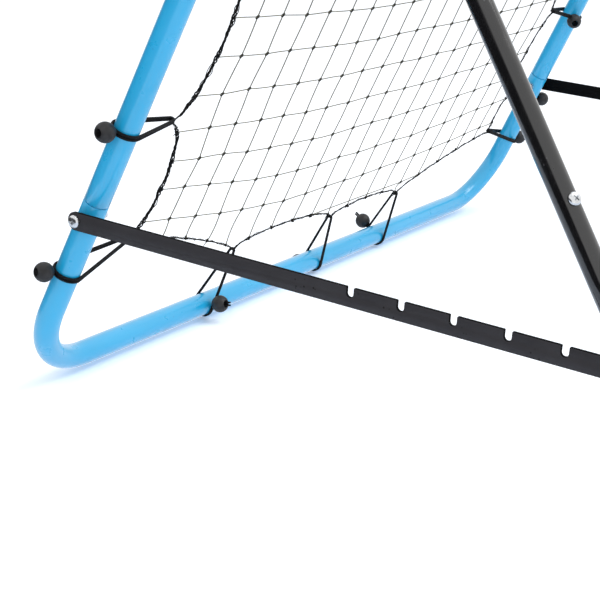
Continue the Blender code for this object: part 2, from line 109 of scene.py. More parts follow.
SLOPE_UP = math.cos(FRAME_LEAN)
SLOPE_BACK = math.sin(FRAME_LEAN)
HINGE_Y = FRAME_Y + HINGE_UP * SLOPE_BACK + HINGE_BACK * SLOPE_UP
HINGE_Z = AXIS_HEIGHT + HINGE_UP * SLOPE_UP - HINGE_BACK * SLOPE_BACK
LEG_LENGTH = (HINGE_Z - LEG_R) / math.cos(LEG_ANGLE)
FRONT = Matrix.Translation((0, FRAME_Y, AXIS_HEIGHT)) @ Matrix.Rotation(-FRAME_LEAN, 4, "X")
LEGS = Matrix.Translation((0, HINGE_Y, HINGE_Z)) @ Matrix.Rotation(LEG_ANGLE, 4, "X")
X_AXIS = Vector((1, 0, 0))
Y_AXIS = Vector((0, 1, 0))
Z_AXIS = Vector((0, 0, 1))
SIDES = (("right", 1), ("left", -1))
chance = random.Random(7)


def tube_x(height):
    return FRAME_WIDTH / 2 - height * math.tan(FRAME_TAPER)


def leg_x(down):
    return tube_x(HINGE_UP) + down * math.tan(FRAME_TAPER)


# (side, net x, net height, height on the tube, ball angle, CAD node)
SIDE_TIES = [
    (1, 0.4175, 0.148, 0.132, -21, "tie_right_1"),
    (1, 0.4190, 0.2925, 0.2955, -8, "tie_right_2"),
    (1, 0.4110, 0.463, 0.456, -25, "tie_right_3"),
    (1, 0.396, 0.648, 0.642, -20, "tie_right_4"),
    (1, 0.388, 0.842, 0.842, -35, "tie_right_5"),
    (-1, 0.408, 0.128, 0.106, 20, "tie_left_1"),
    (-1, 0.407, 0.192, 0.178, 30, "tie_left_2"),
    (-1, 0.409, 0.328, 0.318, 143, "tie_left_3"),
    (-1, 0.403, 0.486, 0.478, -25, "tie_left_4"),
    (-1, 0.396, 0.663, 0.658, -20, "tie_left_5"),
    (-1, 0.388, 0.842, 0.842, -35, "tie_left_6"),
]
# (1 at the top or -1 at the bottom, net x, net height, x on the tube, ball angle, slant, CAD node)
END_TIES = [
    (-1, 0.189, 0.0755, 0.199, 37, 0.003, "tie_bottom_1"),
    (-1, -0.0225, 0.070, -0.034, 224, 0.003, "tie_bottom_2"),
    (-1, -0.187, 0.070, -0.1895, 168, 0.0, "tie_bottom_3"),
    (1, 0.190, 0.915, 0.190, 35, 0.003, "tie_top_1"),
    (1, 0.0, 0.915, 0.0, 20, -0.003, "tie_top_2"),
    (1, -0.190, 0.915, -0.190, 40, 0.003, "tie_top_3"),
]


# --- materials ---
class Shader:
    """A Principled material, with short ways to add nodes to it."""

    def __init__(self, name, **values):
        self.material = bpy.data.materials.new(name)
        self.material.use_nodes = True
        self.tree = self.material.node_tree
        self.main = self.tree.nodes["Principled BSDF"]
        for socket, value in values.items():
            self.feed(self.main.inputs[socket.replace("_", " ")], value)
        self.place = self.node("ShaderNodeTexCoord").outputs["Object"]

    def node(self, kind, **settings):
        made = self.tree.nodes.new(kind)
        for name, value in settings.items():
            setattr(made, name, value)
        return made

    def link(self, source, target):
        self.tree.links.new(source, target)

    def feed(self, socket, value):
        """Gives a socket another node's output, a colour or a plain number."""
        if isinstance(value, bpy.types.NodeSocket):
            self.link(value, socket)
        else:
            socket.default_value = (*value, 1) if isinstance(value, tuple) else value

    def noise(self, scale, detail=4.0, roughness=0.5, stretch=None):
        made = self.node("ShaderNodeTexNoise")
        made.inputs["Scale"].default_value = scale
        made.inputs["Detail"].default_value = detail
        made.inputs["Roughness"].default_value = roughness
        place = self.place
        if stretch:
            mapping = self.node("ShaderNodeMapping")
            mapping.inputs["Scale"].default_value = stretch
            self.link(self.place, mapping.inputs["Vector"])
            place = mapping.outputs["Vector"]
        self.link(place, made.inputs["Vector"])
        return made.outputs["Fac"]

    def wave(self, scale, distortion, direction="DIAGONAL"):
        made = self.node("ShaderNodeTexWave", bands_direction=direction)
        made.inputs["Scale"].default_value = scale
        made.inputs["Distortion"].default_value = distortion
        self.link(self.place, made.inputs["Vector"])
        return made.outputs["Fac"]

    def cells(self, scale):
        made = self.node("ShaderNodeTexVoronoi")
        made.inputs["Scale"].default_value = scale
        self.link(self.place, made.inputs["Vector"])
        return made.outputs["Distance"]

    def ramp(self, factor, *stops):
        made = self.node("ShaderNodeValToRGB")
        points = made.color_ramp.elements
        while len(points) < len(stops):
            points.new(0.5)
        for point, (at, colour) in zip(points, stops):
            point.position = at
            point.color = (*colour, 1) if isinstance(colour, tuple) else (colour, colour, colour, 1)
        self.link(factor, made.inputs["Fac"])
        return made.outputs["Color"]

    def mix(self, factor, first, second):
        made = self.node("ShaderNodeMix", data_type="RGBA")
        for socket, value in ((0, factor), (6, first), (7, second)):
            self.feed(made.inputs[socket], value)
        return made.outputs[2]

    def times(self, first, second):
        made = self.node("ShaderNodeMath", operation="MULTIPLY")
        self.feed(made.inputs[0], first)
        self.feed(made.inputs[1], second)
        return made.outputs[0]

    def colour(self, source):
        self.link(source, self.main.inputs["Base Color"])

    def rough(self, source):
        self.link(source, self.main.inputs["Roughness"])

    def bump(self, height, strength, distance):
        made = self.node("ShaderNodeBump")
        made.inputs["Strength"].default_value = strength
        made.inputs["Distance"].default_value = distance
        self.link(height, made.inputs["Height"])
        previous = self.main.inputs["Normal"]
        if previous.is_linked:
            self.link(previous.links[0].from_socket, made.inputs["Normal"])
        self.link(made.outputs["Normal"], previous)


def blue_paint():
    made = Shader("blue_paint", Roughness=0.3, Coat_Weight=1.0, Coat_Roughness=0.14)
    cloud = made.noise(9, detail=3)
    base = made.ramp(cloud, (0.3, (0.011, 0.342, 0.625)), (0.7, (0.015, 0.370, 0.675)))
    specks = made.ramp(made.cells(170), (0.10, 1.0), (0.16, 0.0))
    rare = made.ramp(made.noise(34, detail=1), (0.62, 0.0), (0.66, 0.6))
    dust = made.times(specks, rare)
    made.colour(made.mix(dust, base, (0.015, 0.24, 0.50)))
    made.rough(made.ramp(made.noise(60), (0.3, 0.26), (0.7, 0.38)))
    made.bump(made.noise(900, detail=2), 0.10, 0.0002)
    made.bump(made.noise(45, detail=2), 0.10, 0.0006)
    return made.material


def leg_paint():
    made = Shader("black_gloss_paint", Roughness=0.16, Coat_Weight=1.0, Coat_Roughness=0.10)
    base = made.ramp(made.noise(14), (0.35, (0.0022, 0.0022, 0.0027)), (0.7, (0.0040, 0.0040, 0.0046)))
    specks = made.ramp(made.cells(230), (0.12, 1.0), (0.19, 0.0))
    rare = made.ramp(made.noise(26, detail=2), (0.56, 0.0), (0.62, 1.0))
    made.colour(made.mix(made.times(specks, rare), base, (0.045, 0.045, 0.048)))
    made.rough(made.ramp(made.noise(70), (0.35, 0.12), (0.75, 0.30)))
    made.bump(made.noise(1100, detail=2), 0.08, 0.0002)
    made.bump(made.noise(38, detail=3), 0.10, 0.0005)
    return made.material


def bar_paint(name, base, roughness, specular):
    made = Shader(name, Roughness=roughness, Specular_IOR_Level=specular)
    dark = tuple(0.8 * part for part in base)
    cloud = made.ramp(made.noise(22), (0.3, dark), (0.75, base))
    streaks = made.noise(55, detail=6, roughness=0.7, stretch=(1, 0.12, 1))
    scuffs = made.ramp(streaks, (0.66, 0.0), (0.74, 0.5))
    specks = made.ramp(made.cells(230), (0.15, 1.0), (0.24, 0.0))
    rare = made.ramp(made.noise(31, detail=2), (0.58, 0.0), (0.64, 1.0))
    scuffed = made.mix(made.times(scuffs, 0.25), cloud, (0.09, 0.09, 0.09))
    made.colour(made.mix(made.times(specks, rare), scuffed, (0.004, 0.004, 0.004)))
    made.rough(made.ramp(made.noise(90), (0.3, roughness - 0.05), (0.7, roughness + 0.09)))
    made.bump(made.noise(1300, detail=3), 0.22, 0.0002)
    return made.material


def zinc():
    made = Shader("zinc", Metallic=1.0, Roughness=0.22)
    made.colour(made.ramp(made.noise(320), (0.3, (0.66, 0.68, 0.70)), (0.7, (0.86, 0.87, 0.88))))
    made.rough(made.ramp(made.noise(500, detail=5), (0.3, 0.14), (0.8, 0.36)))
    made.bump(made.noise(1500, detail=2), 0.15, 0.0001)
    return made.material


def ball_plastic():
    made = Shader("ball_plastic", Roughness=0.5, Specular_IOR_Level=0.4)
    made.colour(made.ramp(made.noise(150), (0.3, (0.010, 0.010, 0.011)), (0.75, (0.024, 0.024, 0.026))))
    made.rough(made.ramp(made.noise(260), (0.3, 0.40), (0.7, 0.62)))
    made.bump(made.noise(700, detail=4), 0.35, 0.0004)
    return made.material


def elastic_cord():
    """Braided cover: two crossing fine waves."""
    made = Shader("elastic_cord", Roughness=0.68, Specular_IOR_Level=0.2)
    weave = made.times(made.wave(420, 1.0), made.wave(430, 1.0, "X"))
    made.colour(made.ramp(weave, (0.05, (0.002, 0.002, 0.0025)), (0.8, (0.009, 0.009, 0.011))))
    made.bump(weave, 0.55, 0.0004)
    made.bump(made.noise(1600), 0.3, 0.0002)
    return made.material


def border_cord():
    made = Shader("border_cord", Roughness=0.85, Specular_IOR_Level=0.2)
    fibre = made.noise(900, detail=6, roughness=0.7, stretch=(1, 1, 0.35))
    made.colour(made.ramp(fibre, (0.3, (0.002, 0.002, 0.002)), (0.8, (0.014, 0.014, 0.013))))
    made.bump(fibre, 0.8, 0.0006)
    return made.material


def twine(name, low, high):
    made = Shader(name, Roughness=0.7)
    made.colour(made.ramp(made.noise(700, detail=4), (0.3, low), (0.75, high)))
    made.bump(made.wave(900, 1.5), 0.5, 0.0002)
    return made.material


def floor_paint():
    made = Shader("floor", Roughness=0.7, Specular_IOR_Level=0.15, Emission_Strength=1.0,
                  Emission_Color=(0.09, 0.13, 0.19))
    cloud = made.noise(3, detail=2)
    made.colour(made.ramp(cloud, (0.3, (0.930, 0.935, 0.945)), (0.7, (0.945, 0.950, 0.960))))
    return made.material


PAINTS = {
    "blue": blue_paint(),
    "leg": leg_paint(),
    "bar": bar_paint("bar_paint", (0.0310, 0.0300, 0.0345), 0.50, 0.22),
    # The darker, matt paint of the bars' rims, which is also painted shade on each bar's inner face.
    "bar_edge_and_shade": bar_paint("bar_edge_and_shade_paint", (0.0030, 0.0030, 0.0034), 0.72, 0.08),
    "zinc": zinc(),
    "plastic": ball_plastic(),
    "cord": elastic_cord(),
    "border": border_cord(),
    "twine": twine("net_twine", (0.085, 0.078, 0.050), (0.19, 0.175, 0.115)),
    "knot": twine("net_knot", (0.005, 0.005, 0.004), (0.020, 0.020, 0.014)),
}


# --- mesh helpers ---
def settle(bm, name, body, paints, place, replaces, angle=CREASE):
    """The bmesh as a piece that rides on a body; place moves its points to the world."""
    if place is not None:
        bm.transform(place)
    bmesh.ops.recalc_face_normals(bm, faces=bm.faces)
    mesh = bpy.data.meshes.new(name)
    bm.to_mesh(mesh)
    bm.free()
    for paint in paints:
        mesh.materials.append(PAINTS[paint])
    mesh.shade_smooth()
    mesh.set_sharp_from_angle(angle=math.radians(angle))
    made = bpy.data.objects.new(name, mesh)
    bpy.context.scene.collection.objects.link(made)
    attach(made, body)
    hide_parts(*replaces)
    return made


def ring(bm, centre, across, up, radius, sides):
    verts = []
    for i in range(sides):
        angle = 2 * math.pi * i / sides
        verts.append(bm.verts.new(centre + radius * (math.cos(angle) * across + math.sin(angle) * up)))
    return verts


def skin(bm, rings, looped=False, capped=True, slot=0):
    """Faces between each ring of points and the next one."""
    pairs = list(zip(rings, rings[1:]))
    if looped:
        pairs.append((rings[-1], rings[0]))
    for first, second in pairs:
        count = len(first)
        for i in range(count):
            following = (i + 1) % count
            face = bm.faces.new((first[i], first[following], second[following], second[i]))
            face.material_index = slot
    if capped and not looped:
        for end in (rings[0], rings[-1]):
            bm.faces.new(end).material_index = slot


def sweep(bm, points, radii, sides, normal, looped=False):
    """A round tube through the points, with one radius or a list; normal turns its first ring."""
    count = len(points)
    rings = []
    up = normal.copy()
    for i, point in enumerate(points):
        before = points[i - 1] if (i or looped) else points[0]
        after = points[(i + 1) % count] if (i + 1 < count or looped) else points[-1]
        along = (after - before).normalized()
        up = (up - along * up.dot(along)).normalized()
        radius = radii[i] if isinstance(radii, list) else radii
        rings.append(ring(bm, point, along.cross(up), up, radius, sides))
    skin(bm, rings, looped)


def turned(bm, profile, sides, place=Matrix(), looped=False, slot=0):
    """A solid turned about Z from (radius, height) points."""
    rings = []
    for radius, height in profile:
        verts = ring(bm, Vector((0, 0, height)), X_AXIS, Y_AXIS, radius, sides)
        for vert in verts:
            vert.co = place @ vert.co
        rings.append(verts)
    skin(bm, rings, looped, slot=slot)


def frame_at(centre, axis):
    return Matrix.Translation(centre) @ axis.to_track_quat("Z", "Y").to_matrix().to_4x4()


def arc(centre, radius, start, end, steps):
    """Points on an arc from one angle to another, in degrees."""
    points = []
    for i in range(steps + 1):
        angle = math.radians(start + (end - start) * i / steps)
        points.append((centre[0] + radius * math.cos(angle), centre[1] + radius * math.sin(angle)))
    return points


def densified(points, spacing):
    """A closed line's points, with more between them where they are further apart than the spacing."""
    found = []
    for first, second in zip(points, [*points[1:], points[0]]):
        steps = max(1, int((second - first).length / spacing))
        found += [first.lerp(second, k / steps) for k in range(steps)]
    return found


def bent_path(corners, radius, steps):
    """(point, direction) stations along a path, each inner corner rounded."""
    found = []
    for before, corner, after in zip(corners, corners[1:], corners[2:]):
        back = (before - corner).normalized()
        ahead = (after - corner).normalized()
        half = back.angle(ahead) / 2
        centre = corner + (back + ahead).normalized() * radius / math.sin(half)
        run = radius / math.tan(half)
        start = corner + back * run - centre
        axis = start.cross(corner + ahead * run - centre).normalized()
        for i in range(steps + 1):
            turn = Matrix.Rotation((math.pi - 2 * half) * i / steps, 3, axis)
            found.append((centre + turn @ start, turn @ -back))
    first = (corners[0], (corners[1] - corners[0]).normalized())
    last = (corners[-1], (corners[-1] - corners[-2]).normalized())
    return [first, *found, last]


def split(stations):
    """Extra stations on long straight runs, so that shading stays even."""
    longest = 0.03
    found = []
    for (point, along), (following, _) in zip(stations, stations[1:]):
        found.append((point, along))
        count = int((following - point).length / longest)
        for i in range(1, count):
            found.append((point.lerp(following, i / count), along))
    found.append(stations[-1])
    return found


def rolled(stations, radius):
    """Adds a rounded mouth at both ends of a tube's stations and gives every station a radius."""
    bore = radius - TUBE_WALL
    bevel = 0.0002
    mouth = [(MOUTH_DEPTH, bore), (0, bore), (0, radius - MOUTH_LIP), (bevel, radius - bevel),
             (MOUTH_LIP, radius)]
    (start, start_along), (end, end_along) = stations[0], stations[-1]
    opening = [(start + start_along * depth, start_along, size) for depth, size in mouth]
    closing = [(end - end_along * depth, end_along, size) for depth, size in reversed(mouth)]
    return [*opening, *((point, along, radius) for point, along in stations[1:-1]), *closing]


# --- tubes ---
def tube_skin(bm, stations, sides=TUBE_SIDES):
    """A tube through (point, direction, radius) stations, which all lie in the XZ plane."""
    rings = []
    for point, along, radius in stations:
        rings.append(ring(bm, point, along.cross(Y_AXIS).normalized(), Y_AXIS, radius, sides))
    skin(bm, rings)


def bent_tube(name, body, paint, corners, bend_r, steps, radius, place, replaces):
    """A tube that is bent round its two inner corners, as a piece of its own."""
    bm = bmesh.new()
    tube_skin(bm, rolled(split(bent_path(corners, bend_r, steps)), radius))
    settle(bm, name, body, [paint], place, replaces, angle=TUBE_CREASE)


def straight_tube(bm, low, high, radius):
    """Adds a straight tube and returns its direction."""
    along = (high - low).normalized()
    tube_skin(bm, rolled(split([(low, along), (high, along)]), radius))
    return along


def spigot(bm, low, along, radius):
    """Adds the narrower stretch that a tube's neighbour slides over."""
    tube_skin(bm, [(low, along, radius), (low + along * SPIGOT_LENGTH, along, radius)], SPIGOT_SIDES)


def build_front_frame():
    far_seam = FRAME_LENGTH - SEAM
    for name, node, seam, end in (
        ("bent_lower_tube", "front_lower_tube", SEAM, 0),
        ("bent_top_tube", "front_top_tube", far_seam, FRAME_LENGTH),
    ):
        ends = ((1, seam), (1, end), (-1, end), (-1, seam))
        corners = [Vector((side * tube_x(height), 0, height)) for side, height in ends]
        bent_tube(name, "front_frame", "blue", corners, BEND_R, 20, TUBE_R, FRONT, [node])
    for name, side in SIDES:
        low = Vector((side * tube_x(SEAM + STEP_GAP), 0, SEAM + STEP_GAP))
        high = Vector((side * tube_x(far_seam - STEP_GAP), 0, far_seam - STEP_GAP))
        bm = bmesh.new()
        along = straight_tube(bm, low, high, TUBE_R)
        spigot(bm, low - along * 0.020, along, FRAME_SPIGOT_R)
        spigot(bm, high - along * 0.010, along, FRAME_SPIGOT_R)
        lug(bm, side)
        settle(bm, f"straight_tube_{name}", "front_frame", ["blue"], FRONT,
               [f"front_side_tube_{name}"], angle=TUBE_CREASE)


def lug(bm, side):
    """A folded steel lug with its two weld beads, on the rear of the side tube."""
    centre = Vector((side * tube_x(HINGE_UP), 0, HINGE_UP))
    half = LUG_THICK / 2
    lip = 0.0004
    ear_x = LEG_R + STEP_GAP + half
    base_y = TUBE_R - 0.0007
    outline = [(base_y, -LUG_R), *arc((HINGE_BACK, 0), LUG_R, -90, 90, 20), (base_y, LUG_R)]
    middle = Vector(((base_y + HINGE_BACK) / 2, 0))
    for ear in (-1, 1):
        rings = []
        for across, shrink in ((-half, lip), (lip - half, 0), (half - lip, 0), (half, lip)):
            verts = []
            for point in outline:
                away = Vector(point) - middle
                y, z = middle + away - away.normalized() * shrink
                verts.append(bm.verts.new(centre + Vector((ear * ear_x + across, y, z))))
            rings.append(verts)
        skin(bm, rings)
    base = Vector((2 * ear_x + LUG_THICK, 0.003, 0.030))
    for vert in bmesh.ops.create_cube(bm, size=1)["verts"]:
        vert.co = centre + Y_AXIS * (base_y + base.y / 2) + vert.co * base
    # Each weld bead is lumpy, and thin at its two ends.
    bead_x, bead_length, steps = ear_x - 0.0035, 0.031, 32
    for edge in (-1, 1):
        points, radii = [], []
        for i in range(steps + 1):
            t = i / steps
            points.append(centre + Vector((edge * bead_x, TUBE_R * 0.72, bead_length * (t - 0.5))))
            radii.append(0.0022 + 0.0006 * math.sin(t * 60) if 0 < i < steps else 0.0008)
        sweep(bm, points, radii, 10, Y_AXIS)


def build_leg_frame():
    ends = ((1, LEG_SEAM), (1, LEG_LENGTH), (-1, LEG_LENGTH), (-1, LEG_SEAM))
    corners = [Vector((side * leg_x(down), 0, -down)) for side, down in ends]
    bent_tube("bent_rear_tube", "leg_frame", "leg", corners, REAR_BEND_R, 18, LEG_R, LEGS,
              ["rear_lower_tube"])
    # From the plug inside the tube, over the flange, to the flat top.
    cap = [(0.006, -0.004), (0.0083, -0.003), (0.0083, 0.0002), (0.0097, 0.0002), (0.010, 0.0005),
           (0.010, 0.0012), (0.0094, 0.0018), (0.006, 0.0020)]
    for name, side in SIDES:
        low = Vector((side * leg_x(LEG_SEAM - STEP_GAP), 0, STEP_GAP - LEG_SEAM))
        high = Vector((side * leg_x(-LEG_TOP), 0, LEG_TOP))
        bm = bmesh.new()
        along = straight_tube(bm, low, high, LEG_R)
        spigot(bm, low - along * 0.012, along, LEG_SPIGOT_R)
        settle(bm, f"leg_tube_{name}", "leg_frame", ["leg"], LEGS,
               [f"upper_leg_{name}"], angle=TUBE_CREASE)
        bm = bmesh.new()
        turned(bm, cap, 32, frame_at(high, along))
        settle(bm, f"end_cap_{name}", "leg_frame", ["plastic"], LEGS, [f"leg_end_cap_{name}"])


# --- bars ---
def bar_outline():
    """The bar's side view: round ends, and open slots with slightly rounded mouths in its upper edge."""
    half = BAR_HEIGHT / 2
    end = SLOT_FIRST + SLOT_PITCH * (SLOT_COUNT - 1) + BAR_TAIL
    slot_r = SLOT_WIDTH / 2
    mouth_r = 0.0009
    outline = arc((0, 0), half, 90, 270, 28)
    outline += arc((end - half, 0), half, -90, 90, 20)
    for i in reversed(range(SLOT_COUNT)):
        centre = SLOT_FIRST + SLOT_PITCH * i
        outline += arc((centre + slot_r + mouth_r, half - mouth_r), mouth_r, 90, 180, 4)
        outline += arc((centre, slot_r), slot_r, 0, -180, 14)
        outline += arc((centre - slot_r - mouth_r, half - mouth_r), mouth_r, 0, 90, 4)
    return outline


def build_bars():
    outline = [Vector(point) for point in bar_outline()]
    count = len(outline)
    lip = 0.00035
    for name, side in SIDES:
        bm = bmesh.new()
        rings = []
        for across, shrink in ((-1, lip), (-1, 0), (1, 0), (1, lip)):
            x = across * (BAR_THICK / 2 - (0 if shrink else lip))
            verts = []
            for i, point in enumerate(outline):
                before = (point - outline[i - 1]).normalized()
                after = (outline[(i + 1) % count] - point).normalized()
                along = (before + after).normalized()
                at = point + Vector((-along.y, along.x)) * shrink
                verts.append(bm.verts.new((x, at.x, at.y)))
            rings.append(verts)
        skin(bm, rings, capped=False, slot=1)
        # The inner face gets the darker paint as painted shade, standing in for the shade that face is
        # in; the outer face keeps the lighter paint.
        for end, paint in ((rings[0], side > 0), (rings[-1], side < 0)):
            bm.faces.new(end).material_index = int(paint)
        pivot = Vector((side * (tube_x(BAR_PIVOT) + BAR_OUT), 0, BAR_PIVOT))
        place = Matrix.Translation(FRONT @ pivot) @ Matrix.Rotation(-BAR_DROP, 4, "X")
        settle(bm, f"slotted_bar_{name}", f"bar_{name}", ["bar", "bar_edge_and_shade"], place,
               [f"notched_bar_{name}"], angle=TUBE_CREASE)


# --- fasteners ---
def recess_arm(head_r, height, turn):
    """A cutter for one arm of the cross recess, which narrows downwards."""
    bm = bmesh.new()
    wide = 0.105 * head_r
    verts = []
    for z, reach in ((1.2 * height, 0.5512 * head_r), (0.25 * height, 0.20 * head_r)):
        for x, y in ((-reach, -wide), (reach, -wide), (reach, wide), (-reach, wide)):
            verts.append(bm.verts.new(Matrix.Rotation(turn, 3, "Z") @ Vector((x, y, z))))
    for face in ((0, 1, 2, 3), (7, 6, 5, 4), (0, 4, 5, 1), (1, 5, 6, 2), (2, 6, 7, 3), (3, 7, 4, 0)):
        bm.faces.new([verts[i] for i in face])
    bmesh.ops.recalc_face_normals(bm, faces=bm.faces)
    mesh = bpy.data.meshes.new("recess")
    bm.to_mesh(mesh)
    bm.free()
    cutter = bpy.data.objects.new("recess", mesh)
    bpy.context.scene.collection.objects.link(cutter)
    return cutter


def cross_head_bolt(name, body, place, head_at, axis, shank_r, shank, head_r, replaces):
    """A pan head with a cross recess and a plain shank."""
    height = 0.62 * head_r
    profile = [(shank_r * 0.8, -shank), (shank_r, -shank + 0.0006), (shank_r, 0), (head_r * 0.97, 0),
               (head_r, 0.10 * height), (head_r, 0.30 * height), (0.97 * head_r, 0.48 * height),
               (0.88 * head_r, 0.70 * height), (0.72 * head_r, 0.87 * height),
               (0.5 * head_r, 0.97 * height), (0.2 * head_r, height)]
    bm = bmesh.new()
    turned(bm, profile, HEAD_SIDES)
    made = settle(bm, name, body, ["zinc"], None, replaces)
    recess_turn = 0.5
    for turn in (recess_turn, recess_turn + math.pi / 2):
        cutter = recess_arm(head_r, height, turn)
        cut = made.modifiers.new("cut", "BOOLEAN")
        cut.operation = "DIFFERENCE"
        cut.solver = "EXACT"
        cut.object = cutter
        graph = bpy.context.evaluated_depsgraph_get()
        carved = bpy.data.meshes.new_from_object(made.evaluated_get(graph))
        made.modifiers.clear()
        made.data = carved
        bpy.data.objects.remove(cutter)
    made.data.transform(place @ frame_at(head_at, axis))
    made.data.set_sharp_from_angle(angle=math.radians(CREASE))


def build_fasteners():
    top_joint = FRAME_LENGTH - SEAM + SOCKET / 2
    bar_face = BAR_OUT + BAR_THICK / 2
    ear = LEG_R + STEP_GAP + LUG_THICK
    for name, side in SIDES:
        out = X_AXIS * side
        head = Vector((side * (tube_x(BAR_PIVOT) + bar_face + HEAD_GAP), 0, BAR_PIVOT))
        cross_head_bolt(f"pivot_screw_{name}", "front_frame", FRONT, head, out, BOLT_R,
                        bar_face + TUBE_R + 0.009, 0.0062, [f"bar_pivot_bolt_{name}"])
        head = Vector((side * tube_x(top_joint), TUBE_R + HEAD_GAP, top_joint))
        cross_head_bolt(f"top_screw_{name}", "front_frame", FRONT, head, Y_AXIS, SCREW_R,
                        2 * TUBE_R + 0.008, 0.0052, [f"top_joint_bolt_{name}"])
        head = Vector((side * (tube_x(HINGE_UP) + ear + HEAD_GAP), HINGE_BACK, HINGE_UP))
        cross_head_bolt(f"hinge_screw_{name}", "front_frame", FRONT, head, out, BOLT_R,
                        2 * ear + 0.009, 0.006, [f"hinge_bolt_{name}"])
        facing = Matrix.Rotation(-side * LEG_BOLT_TURN, 3, "Z") @ Y_AXIS
        head = Vector((side * leg_x(LEG_BOLT), 0, -LEG_BOLT)) + facing * (LEG_R + HEAD_GAP)
        cross_head_bolt(f"leg_self_tapper_{name}", "leg_frame", LEGS, head, facing, SCREW_R,
                        0.013, 0.0056, [f"leg_screw_{name}"])
        inner = leg_x(HOOK_DOWN) - LEG_R - HEAD_GAP
        reach = tube_x(BAR_PIVOT) + BAR_OUT - BAR_THICK / 2 - HOOK_CLEAR - inner
        head = Vector((side * inner, 0, -HOOK_DOWN))
        cross_head_bolt(f"hook_pin_{name}", "leg_frame", LEGS, head, -out, BOLT_R,
                        reach, 0.0062, [f"hook_bolt_{name}"])


# --- net ---
def net_outline():
    """The scalloped edge as a dense closed line, with a corner at each tie."""
    right = [(side * x, up) for side, x, up, *_ in SIDE_TIES if side > 0]
    left = [(side * x, up) for side, x, up, *_ in SIDE_TIES if side < 0]
    bottom = [(x, up) for end, x, up, *_ in END_TIES if end < 0]
    top = [(x, up) for end, x, up, *_ in END_TIES if end > 0]
    corners = [Vector(corner) for corner in [*right, *top, *reversed(left), *reversed(bottom)]]
    points = []
    for here, there in zip(corners, [*corners[1:], corners[0]]):
        span = there - here
        inward = Vector((-span.y, span.x)).normalized()
        middle = (here + there) / 2
        if abs(span.y) > abs(span.x):
            sag = (0.032 if middle.x > 0 else 0.021) * min(1, span.length / 0.15)
        elif abs(middle.x) > 0.25:
            sag = 0.011
        else:
            sag = 0.014 if middle.x < 0 else 0.018
        steps = max(6, int(span.length / 0.006))
        for i in range(steps):
            t = i / steps
            points.append(here + span * t + inward * sag * (4 * t * (1 - t)) ** 0.5)
    return points


def crossings(points, index, value):
    """Where the closed polyline crosses x = value (index 0) or height = value (index 1)."""
    found = []
    for first, second in zip(points, [*points[1:], points[0]]):
        if (first[index] - value) * (second[index] - value) < 0:
            t = (value - first[index]) / (second[index] - first[index])
            found.append(first[1 - index] + t * (second[1 - index] - first[1 - index]))
    return sorted(found)


def wander(amount):
    return Vector([chance.uniform(-amount, amount) for _ in range(3)])


def pulled(x, up):
    """Where a mesh point that would lie at (x, up) in a square net is drawn to by the ties beside it."""
    beside = abs(x)
    share = 1.0 if x > 0 else 0.4
    # Towards the sides the rows bend to the net's middle, the lowest ones the most.
    row = (up - FIRST_ROW) / MESH_PITCH
    lift = (0.30 + 0.45 * math.exp(-((row - 1) / 2.2) ** 2)) * max(0, (beside - 0.13) / 0.21) ** 1.2
    # The columns spread outwards, most of all beside a side tie.
    ties = [tie_up for side, _, tie_up, *_ in SIDE_TIES if side * x > 0]
    near = sum(math.exp(-((up - tie_up) / 0.035) ** 2) for tie_up in ties)
    spread = 0.26 * max(0, (beside - 0.03) / 0.30) + 0.2 * near * min(1, max(0, (beside - 0.22) / 0.12))
    aside = math.copysign(MESH_PITCH * share * spread, x)
    rise = MESH_PITCH * share * lift * (1 if up < 0.5 else -1)
    return Vector((x + aside, 0, up + rise))


def is_inside(outline, at):
    """Whether a mesh point lies clear of the scalloped edge, along its column and its row."""
    clear, half_width = 0.011, 0.382
    column, row = crossings(outline, 0, at.x), crossings(outline, 1, at.z)
    return (
        abs(at.x) < half_width
        and any(low + clear < at.z < high - clear for low, high in zip(column[::2], column[1::2]))
        and any(low + clear < at.x < high - clear for low, high in zip(row[::2], row[1::2]))
    )


def edge_point(outline, here, at, across, upwards):
    """Where the twine that leaves a mesh point first meets the edge, or None; at is its height or x."""
    start = here.x if across else here.z
    line = crossings(outline, 1 if across else 0, at)
    beyond = [value for value in line if (value - start) * (across or upwards) > 0]
    if not beyond:
        return None
    value = min(beyond, key=lambda found: abs(found - start))
    return Vector((value, 0, at)) if across else Vector((at, 0, value))


def strand(bm, start, end, slack):
    """One twine between two knots, bowed a little at random and by its slack."""
    bow = wander(0.0004) + slack
    steps = 8
    points = []
    for k in range(steps + 1):
        t = k / steps
        points.append(start.lerp(end, t) + 4 * t * (1 - t) * bow)
    sweep(bm, points, TWINE_R, 6, Y_AXIS)


def knot(bm, here):
    """A small tight knot: a slanted blob with a turn of twine over it."""
    slant = Vector((-0.5 + chance.uniform(-0.15, 0.15), 0.1, 0.86)).normalized()
    place = frame_at(here, slant)
    blob = [(0.0004, -0.0027), (0.0010, -0.0021), (0.00135, -0.0010), (0.0014, 0), (0.0013, 0.0011),
            (0.0010, 0.0021), (0.0004, 0.0027)]
    turned(bm, blob, 8, place, slot=1)
    over = [(0.0004, -0.0017), (0.0012, -0.0011), (0.0014, 0), (0.0012, 0.0011), (0.0004, 0.0017)]
    turned(bm, over, 8, place @ Matrix.Rotation(0.9, 4, "X"), slot=1)


